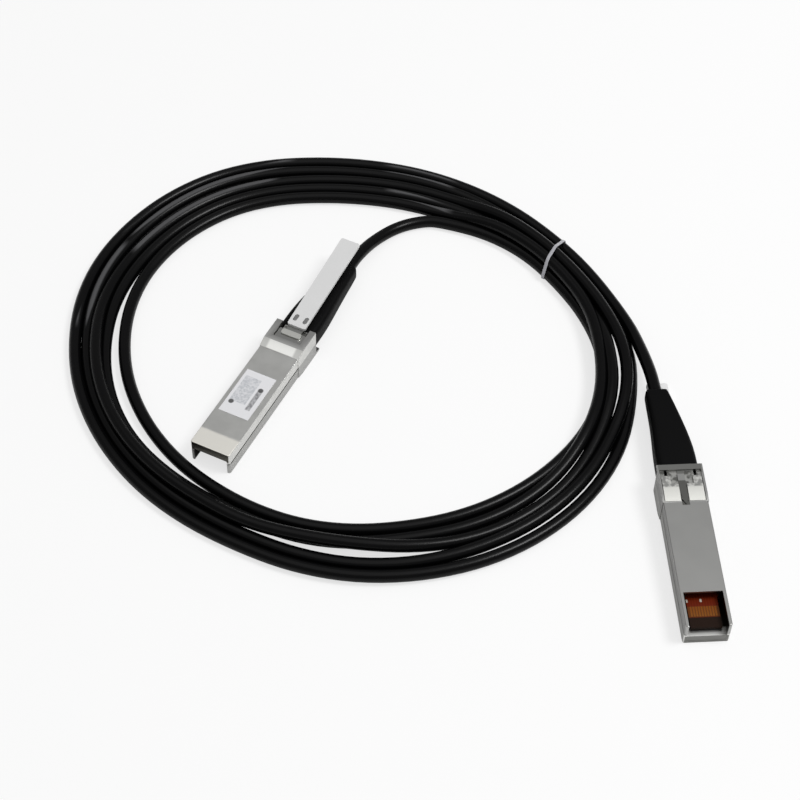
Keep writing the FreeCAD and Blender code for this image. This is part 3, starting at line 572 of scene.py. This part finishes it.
class Finish:
    """A material with its main shader, and a method that adds any node."""

    def __init__(self, name, **numbers):
        self.material = bpy.data.materials.new(name)
        self.material.use_nodes = True
        self.tree = self.material.node_tree
        self.shader = self.tree.nodes["Principled BSDF"]
        for socket, value in numbers.items():
            self.set(socket.replace("_", " ").title(), value)

    def node(self, kind, settings=None, inputs=None, output=0):
        made = self.tree.nodes.new(kind)
        for name, value in (settings or {}).items():
            setattr(made, name, value)
        for key, value in (inputs or {}).items():
            self.feed(made.inputs[key], value)
        return Wire(self, made.outputs[output])

    def feed(self, socket, value):
        if isinstance(value, Wire):
            self.tree.links.new(value.socket, socket)
        else:
            socket.default_value = value

    def set(self, socket, value):
        if not isinstance(value, Wire) and hasattr(value, "__len__") and len(value) == 3:
            value = (*value, 1)
        self.feed(self.shader.inputs[socket], value)

    def object_place(self):
        return self.node("ShaderNodeTexCoord", output="Object")

    def plug_place(self, end):
        """Object coordinates turned into a plug's own frame, in millimetres."""
        place = PLACES[end]
        return self.node("ShaderNodeMapping", {"vector_type": "TEXTURE"},
                         {0: self.object_place(), 1: place.to_translation(),
                          2: place.to_euler(), 3: (MM, MM, MM)})

    def split(self, vector):
        made = self.tree.nodes.new("ShaderNodeSeparateXYZ")
        self.tree.links.new(vector.socket, made.inputs[0])
        return [Wire(self, output) for output in made.outputs]

    def noise(self, vector, scale, detail):
        return self.node("ShaderNodeTexNoise", {}, {"Vector": vector, "Scale": scale,
                                                   "Detail": detail, "Roughness": 0.5})

    def blend(self, share, first, second):
        """A colour between two, by a share from nought to one."""
        pair = [(*c, 1) if hasattr(c, "__len__") and len(c) == 3 else c for c in (first, second)]
        return self.node("ShaderNodeMix", {"data_type": "RGBA"},
                         {0: share, 6: pair[0], 7: pair[1]}, output=2)

    def bump(self, height, depth, strength):
        """A bump as deep as a real surface's, in millimetres."""
        return self.node("ShaderNodeBump", {}, {"Height": height, "Distance": depth * MM,
                                                "Strength": strength})


def paint(finish, *painted):
    for piece in painted:
        piece.data.materials.clear()
        piece.data.materials.append(finish.material)


print("shader helpers ready")

# %% [markdown]
# The housings are zinc, cast and tumbled, then plated a soft grey. Seen close, the plating is not
# even: a fine grain breaks up every reflection and faint clouds make some places duller. The grain
# goes into the bump, the clouds into the tone and the roughness. On top of that come painted light
# and shade: a painted highlight on the nose and the slope, painted shade inside the mouth, on its
# front face and its bar, in the latch pockets and in the gap round the post, and a darker rear top.
# The seam is a dark joint. Each is a mask in the plug's own frame with the tone that it lays over
# the others.

# %% Die-cast metal
WINDOW, POST, SEAM = (43.8, 55.4), (42.7, 51.8), (4.05, 4.6)      # the last one is a height
BROW_SHADE = {"a": (0.08, 0.075, 0.06), "b": (0.19, 0.19, 0.18)}  # painted shade on the mouth's front face, deep on a and lighter on b
# painted shade on the cross bar in the mouth, deep on a and lighter on b
BAR_SHADE = {"a": (0.08, 0.08, 0.07), "b": (0.36, 0.36, 0.35)}
SIDE_DULL = {"a": 0.0, "b": 0.35}


def die_cast(end):
    finish = Finish(f"die_cast_{end}", metallic=1.0)
    place = finish.object_place()
    x, y, z = finish.split(finish.plug_place(end))
    clouds = finish.noise(place, 170, 2.0)
    grain = finish.noise(place, 5200, 2.0)
    half = x.size()
    low_face = z.ramp(0.15, 0.05)
    # painted highlight: the flat top of the nose is lighter and less metallic
    front = y.ramp(7.0, 6.0) * z.ramp(8.3, 8.4)
    bar = half.ramp(5.8, 5.7) * y.ramp(3.2, 3.1) * z.within(5.0, BAR_HIGH, 0.05)
    # painted shade over the inside of the housing, behind the mouth
    mouth = half.ramp(6.4, 6.0) * y.within(0.4, 50, 0.3) * z.within(0.6, 7.8, 0.3) * (1 - bar)
    # painted shade on the front face round the mouth
    brow = half.ramp(6.6, 6.5) * y.ramp(0.13, 0.03) * z.ramp(5.0, 5.2)
    # painted shade in the latch pockets, mottled
    pockets = half.ramp(6.6, 6.4) * y.within(*WINDOW, 0.15) * z.within(0.2, 8.3, 0.08)
    # painted highlight on the slope, brightest in its middle and darker to its sides
    slope = y.within(*SLOPE, 0.05) * z.ramp(NOSE_HEIGHT, NOSE_HEIGHT + 0.1)
    rear = y.ramp(SLOPE[1], SLOPE[1] + 0.1) * z.ramp(9.3, 9.4)
    lip = half.ramp(6.6, 6.5) * y.ramp(54.2, 54.4) * low_face
    # painted shade in the gap round the post between the ramps
    post = half.ramp(1.2, 1.1) * y.within(*POST, 0.1) * low_face
    seam = z.within(*SEAM, 0.05) * half.ramp(6.7, 6.6) * half.ramp(6.3, 6.4)
    mottle = finish.noise(place, 420, 2.0).ramp(0.42, 0.58)
    tone = finish.blend(clouds.ramp(0.3, 0.7), (0.66, 0.66, 0.64), (0.72, 0.72, 0.7))
    for mask, over in (
            (front, (0.86, 0.84, 0.78)),
            (z.ramp(4.7, 4.5), (0.41, 0.41, 0.4)),
            (half.ramp(6.7, 6.76) * SIDE_DULL[end], (0.2, 0.2, 0.19)),
            (mouth, (0.03, 0.026, 0.022)),
            (bar, BAR_SHADE[end]),
            (brow, BROW_SHADE[end]),
            (pockets, finish.blend(mottle, (0.17, 0.17, 0.16), (0.5, 0.5, 0.48))),
            (slope, finish.blend(half.ramp(4.2, 5.2), (0.9, 0.9, 0.87), (0.58, 0.58, 0.56))),
            (rear, (0.42, 0.42, 0.41)),
            (lip, (0.24, 0.24, 0.23)),
            (seam.maths("MAXIMUM", post), (0.16, 0.16, 0.15))):
        tone = finish.blend(mask, tone, over)
    finish.set("Base Color", tone)
    finish.set("Metallic", 1 - front * 0.6)
    finish.set("Roughness", 0.3 + clouds * 0.08)
    finish.set("Normal", finish.bump(grain, 0.01, 0.5))
    return finish


for end in "ab":
    paint(die_cast(end), *[pieces[f"{half}_shell_{end}"] for half in ("top", "bottom")])

# %% Sheet steel, springs and studs
def brushed(name, colour, roughness):
    finish = Finish(name, metallic=1.0)
    place = finish.object_place()
    grain = finish.noise(place, 2600, 3.0)
    finish.set("Base Color", finish.blend(grain, [c * 0.85 for c in colour], colour))
    finish.set("Roughness", roughness + grain * 0.12)
    finish.set("Normal", finish.bump(grain, 0.006, 0.5))
    return finish


def slide_sheet(end):
    """Painted highlight on the ramps and the cross bar, painted shade, mottled, on the rest."""
    finish = brushed(f"slide_sheet_{end}", (0.74, 0.74, 0.7), 0.3)
    _, y, z = finish.split(finish.plug_place(end))
    # painted highlight on the ramps and the bar, painted shade on the plate in the recess
    lit_ramps_and_bar = (y.ramp(49.6, 49.0) * z.ramp(1.0, 0.8)).maths("MAXIMUM", z.ramp(8.9, 9.0))
    mottle = finish.noise(finish.object_place(), 700, 2.0).ramp(0.4, 0.65) * z.ramp(1.0, 0.8)
    shaded_plate = finish.blend(mottle, (0.34, 0.34, 0.33), (0.72, 0.72, 0.69))
    finish.set("Base Color", finish.blend(lit_ramps_and_bar, shaded_plate, (0.8, 0.8, 0.76)))
    return finish


for end in "ab":
    paint(slide_sheet(end), pieces[f"latch_slide_{end}"])
paint(brushed("spring_wire", (0.5, 0.5, 0.5), 0.3),
      *[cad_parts[f"return_springs_{e}"] for e in "ab"])
paint(brushed("plated_stud", (0.34, 0.34, 0.34), 0.42), *[pieces[f"tab_studs_{e}"] for e in "ab"])
paint(brushed("crimped_tube", (0.62, 0.5, 0.3), 0.35),
      *[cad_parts[f"crimp_ferrule_{e}"] for e in "ab"])

# %% [markdown]
# The cable's jacket is soft black plastic. It is nearly colourless and takes its whole look from
# the light that slides along it, so the finish is about gloss: a sharp enough highlight, broken by
# a slight orange peel and by dull patches where hands have been. On the ridges of a few turns a
# painted highlight is laid into the colour as dark grey streaks.

# %% Cable jacket and boot rubber
# painted highlights: where the lighter streaks lie on the ridges of the turns
SHEEN_STREAKS = [((103, 146), (84.2, 87.8)), ((108, 150), (78.8, 82.4)), ((150, 176), (81.0, 84.6)),
          ((60, 78), (70.2, 73.6)), ((64, 80), (81.8, 85.4))]    # angles and distances in the coil


def jacket():
    finish = Finish("cable_jacket", metallic=0.0)
    place = finish.object_place()
    x, y, z = finish.split(place)
    across, along = x / MM - COIL_MIDDLE[0], y / MM - COIL_MIDDLE[1]
    distance = (across * across + along * along).maths("SQRT")
    turned = along.maths("ARCTAN2", across) * (180 / math.pi)
    painted_sheen = 0
    # painted highlight, lighter grey along the tops of a few turns
    for angles, distances in SHEEN_STREAKS:
        painted_sheen = turned.within(*angles, 2) * distance.within(*distances, 0.3) + painted_sheen
    painted_sheen = painted_sheen * z.ramp(3.68 * MM, 3.97 * MM)
    finish.set("Base Color", finish.blend(painted_sheen, (0.0016, 0.0016, 0.0018),
                                          (0.085, 0.085, 0.088)))
    handling = finish.noise(place, 90, 2.0)
    peel = finish.noise(place, 2400, 2.0)
    finish.set("Roughness", 0.2 + handling * 0.12)
    finish.set("Specular IOR Level", 0.15)
    finish.set("Normal", finish.bump(peel, 0.02, 0.35))
    return finish


def rubber():
    finish = Finish("boot_rubber", base_color=(0.0018, 0.0018, 0.002))
    place = finish.object_place()
    grain = finish.noise(place, 3600, 2.0)
    finish.set("Roughness", 0.46 + grain * 0.12)
    finish.set("Specular IOR Level", 0.08)
    finish.set("Normal", finish.bump(grain, 0.03, 0.5))
    return finish


paint(jacket(), cable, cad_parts["cable_tail_a"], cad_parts["cable_tail_b"])
paint(rubber(), pieces["boot_a"], pieces["boot_b"])

# %% Clear plastics, paper, card and cores
def nylon(name, colour, roughness):
    finish = Finish(name)
    place = finish.object_place()
    flow = finish.noise(place, 160, 2.0)
    finish.set("Base Color", finish.blend(flow, [c * 0.95 for c in colour], colour))
    finish.set("Roughness", roughness + flow * 0.1)
    return finish


def paper():
    """White paper with a printed block, a rubbed smear and two specks, all of them plain."""
    finish = Finish("label_paper")
    x, y, _ = finish.split(finish.plug_place("a"))
    block = x.within(-4.5, 1.0, 0.15) * y.within(20, 31, 0.15)
    smear = x.within(1.8, 3.4, 0.2) * y.within(18.5, 27, 0.3)

    def speck(across, along):
        return ((x - across) * (x - across) + (y - along) * (y - along)).ramp(1.1, 0.4)

    specks = speck(2.6, 27.3).maths("MAXIMUM", speck(-3.6, 19.6))
    wear = finish.noise(finish.object_place(), 1300, 3.0).ramp(0.35, 0.65)
    tone = finish.blend(block * (0.25 + wear * 0.5), (0.8, 0.8, 0.82), (0.45, 0.47, 0.5))
    tone = finish.blend(smear * (0.55 + wear * 0.4), tone, (0.2, 0.2, 0.21))
    finish.set("Base Color", finish.blend(specks * 0.95, tone, (0.06, 0.06, 0.06)))
    finish.set("Roughness", 0.5)
    return finish


def card(end):
    finish = Finish(f"circuit_card_{end}")
    x, y, _ = finish.split(finish.plug_place(end))
    tracks = (x * 1.25).maths("FRACT").within(0.3, 0.6, 0.08) * y.within(9.4, 60, 0.1)
    tone = finish.blend(tracks * 0.5, (0.12, 0.0115, 0.002), (0.17, 0.022, 0.004))
    tone = finish.blend(y.within(5.6, 9.2, 0.3), tone, (0.13, 0.04, 0.009))
    columns = x.within(4.1, 4.7, 0.08) + x.within(0.0, 0.6, 0.08)
    small_parts = columns * y.within(10.7, 11.7, 0.08)
    tone = finish.blend(small_parts, tone, (0.5, 0.46, 0.4))
    # painted shade on the card's bare front edge, ahead of the fingers
    finish.set("Base Color", finish.blend(y.ramp(5.7, 5.3), tone, (0.016, 0.007, 0.004)))
    finish.set("Specular IOR Level", 0.1)
    finish.set("Roughness", 0.4)
    return finish


def gold(end):
    """Worn gold over copper, browner towards the rear where it is never wiped."""
    finish = brushed(f"contact_gold_{end}", (0.6, 0.32, 0.13), 0.45)
    _, y, _ = finish.split(finish.plug_place(end))
    wiped, unwiped = (0.25, 0.1, 0.024), (0.24, 0.075, 0.015)
    finish.set("Base Color", finish.blend(y.ramp(4.0, 9.0), wiped, unwiped))
    return finish


paint(nylon("pull_tab_nylon", (0.74, 0.74, 0.74), 0.4), pieces["pull_tab_a"])
paint(nylon("clean_tab_nylon", (0.88, 0.88, 0.88), 0.4), pieces["pull_tab_b"])
paint(nylon("tie_plastic", (0.42, 0.42, 0.45), 0.3), tie)
paint(paper(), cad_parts["label_a"])
for end in "ab":
    paint(card(end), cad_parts[f"paddle_card_{end}"])
    paint(gold(end), pieces[f"contact_fingers_{end}"])
    paint(nylon(f"chip_body_{end}", (0.02, 0.02, 0.02), 0.4),
          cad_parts[f"card_components_{end}"])
    paint(nylon(f"core_insulation_{end}", (0.6, 0.6, 0.58), 0.4),
          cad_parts[f"send_pair_{end}"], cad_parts[f"receive_pair_{end}"])

# %% [markdown]
# The set is a white table under soft light. One large lamp hangs high to the right, and the sky
# all round is pale and brighter overhead, so shadows stay faint and close to the cable.

# %% Table and light
TABLE_WIDTH, PURE_WHITE = 6, 0.7      # metres, and a share
SKY_RISE = (0.76, 0.93)               # the sines of the elevations between which it brightens


def table_top():
    """White table. Most of what the camera sees of it is pure white, so its shadows stay faint."""
    bpy.ops.object.select_all(action="DESELECT")
    bpy.ops.mesh.primitive_plane_add(size=TABLE_WIDTH, location=(0, 0, 0))
    floor = new_piece("table_top")
    finish = Finish("table_white", base_color=(0.96, 0.96, 0.96), roughness=0.9)
    finish.set("Specular IOR Level", 0.1)
    seen = finish.node("ShaderNodeLightPath", output="Is Camera Ray")
    glow = finish.node("ShaderNodeEmission", {}, {0: (1, 1, 1, 1), 1: 1.0})
    mixed = finish.node("ShaderNodeMixShader", {},
                        {0: seen * PURE_WHITE, 1: Wire(finish, finish.shader.outputs[0]), 2: glow})
    finish.tree.links.new(mixed.socket, finish.tree.nodes["Material Output"].inputs[0])
    paint(finish, floor)


def lamp(name, place, size, power):
    light = bpy.data.lights.new(name, "AREA")
    light.shape, light.size, light.energy = "DISK", size, power
    holder = bpy.data.objects.new(name, light)
    bpy.context.scene.collection.objects.link(holder)
    holder.location = place
    holder.rotation_euler = (TARGET - Vector(place)).to_track_quat("-Z", "Y").to_euler()


def sky(low, high):
    """A pale room whose strength rises from low at its walls to high overhead."""
    world = bpy.data.worlds.new("studio")
    world.use_nodes = True
    nodes, links = world.node_tree.nodes, world.node_tree.links
    direction = nodes.new("ShaderNodeTexCoord")
    parts = nodes.new("ShaderNodeSeparateXYZ")
    rise = nodes.new("ShaderNodeMapRange")
    rise.interpolation_type = "SMOOTHSTEP"
    for socket, value in enumerate((*SKY_RISE, low, high), 1):
        rise.inputs[socket].default_value = value
    links.new(direction.outputs["Generated"], parts.inputs[0])
    links.new(parts.outputs[2], rise.inputs[0])
    links.new(rise.outputs[0], nodes["Background"].inputs["Strength"])
    nodes["Background"].inputs["Color"].default_value = (1, 1, 1, 1)
    bpy.context.scene.world = world


table_top()
lamp("overhead", place=(0.71, -0.056, 1.19), size=0.5, power=10.0)
sky(low=0.3, high=1.0)
bpy.context.scene.view_settings.view_transform = "Standard"
